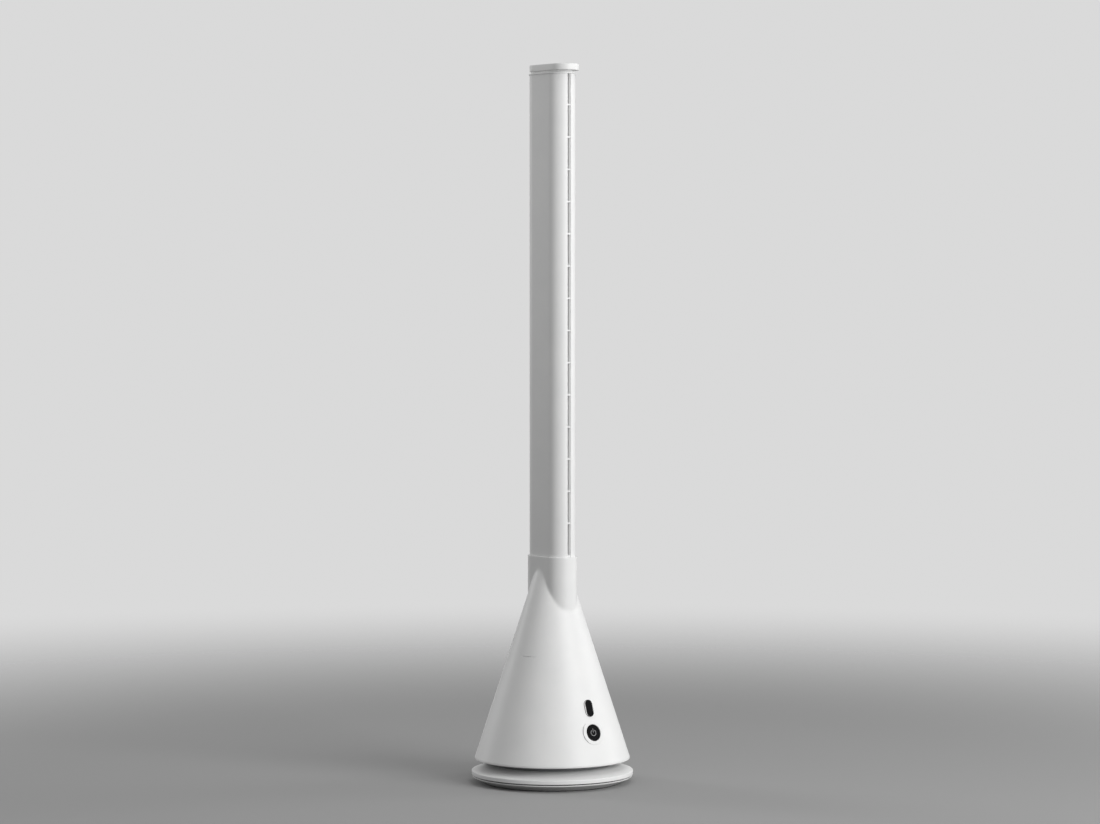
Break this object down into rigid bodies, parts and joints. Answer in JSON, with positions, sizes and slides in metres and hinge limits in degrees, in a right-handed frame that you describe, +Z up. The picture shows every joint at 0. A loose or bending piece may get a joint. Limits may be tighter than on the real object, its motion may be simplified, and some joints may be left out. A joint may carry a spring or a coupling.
{
  "type": "bladeless tower fan",
  "caption": "Bladeless tower fan: a cone body with motor, display and button swivels on a round foot and carries a slim hollow column that blows air from a slot in its front.",
  "frame": {"origin": "centre of the round foot, on the surface that it stands on", "axes": "+Z up along the column, -Y out of the front with the air slot, the display and the button"},
  "size_m": [0.2166, 0.2165, 0.96],
  "materials": {
    "white_shell": "satin white moulded plastic",
    "dark_plastic": "fine matt dark grey plastic",
    "grey_plastic": "matt grey plastic",
    "gloss_black": "high gloss black plastic",
    "cast_iron": "rough grey casting",
    "nylon": "natural nylon",
    "brass": "bright",
    "rubber": "matt black",
    "filter_foam": "open grey foam",
    "circuit_board": "green solder mask",
    "steel": "zinc plated"
  },
  "bodies": {
    "foot": {"foot_cover": "white_shell", "foot_pan": "white_shell", "ballast_plate": "cast_iron", "foot_ring": "rubber", "glide_ring": "nylon", "swivel_gear": "nylon", "power_inlet": "dark_plastic", "inlet_pin_left": "brass", "inlet_pin_right": "brass", "supply_lead": "rubber", "foot_screw_1": "steel", "foot_screw_2": "steel", "foot_screw_3": "steel", "foot_screw_4": "steel"},
    "tower": {"cone_shell": "white_shell", "base_deck": "grey_plastic", "spindle": "steel", "spindle_clip": "steel", "deck_screw_1": "steel", "deck_screw_2": "steel", "deck_screw_3": "steel", "spindle_screw_1": "steel", "spindle_screw_2": "steel", "swivel_motor": "grey_plastic", "rear_grille": "white_shell", "dust_filter": "filter_foam", "fan_shroud": "dark_plastic", "diffuser": "dark_plastic", "fan_motor": "steel", "motor_damper": "rubber", "motor_lead": "rubber", "display_window": "gloss_black", "display_module": "grey_plastic", "control_board": "circuit_board", "tact_switch": "dark_plastic", "board_lead": "rubber", "board_screw_1": "steel", "board_screw_2": "steel", "column_seal": "rubber", "column_foot": "grey_plastic", "column_screw_1": "steel", "column_screw_2": "steel", "column_shell": "white_shell", "nozzle_strip": "white_shell", "air_guide": "dark_plastic", "top_ring": "white_shell", "cap_neck": "white_shell", "top_cap": "white_shell", "cap_screw_1": "steel", "cap_screw_2": "steel"},
    "rotor": {"impeller": "dark_plastic", "motor_shaft": "steel", "impeller_nut": "brass"},
    "button": {"power_button": "gloss_black"},
    "pinion": {"drive_pinion": "nylon"}
  },
  "joints": [
    {"name": "swivel", "type": "hinge", "parent": "foot", "child": "tower", "pos_m": [0, 0, 0.029], "axis": [0, 0, 1], "range_deg": [-40, 40]},
    {"name": "pinion_turn", "type": "hinge", "parent": "tower", "child": "pinion", "pos_m": [0.0393, 0, 0.029], "axis": [0, 0, 1], "range_deg": [-140, 140]},
    {"name": "impeller_spin", "type": "hinge", "parent": "tower", "child": "rotor", "pos_m": [0, 0, 0.152], "axis": [0, 0, 1], "continuous": true},
    {"name": "power_press", "type": "slide", "parent": "tower", "child": "button", "axis": [0, 0.9511, -0.309], "range_m": [0, 0.0008], "stiffness_N_per_m": 500}
  ],
  "couplings": [
    {"joint": "pinion_turn", "follows": "swivel", "ratio": 3.3333}
  ]
}
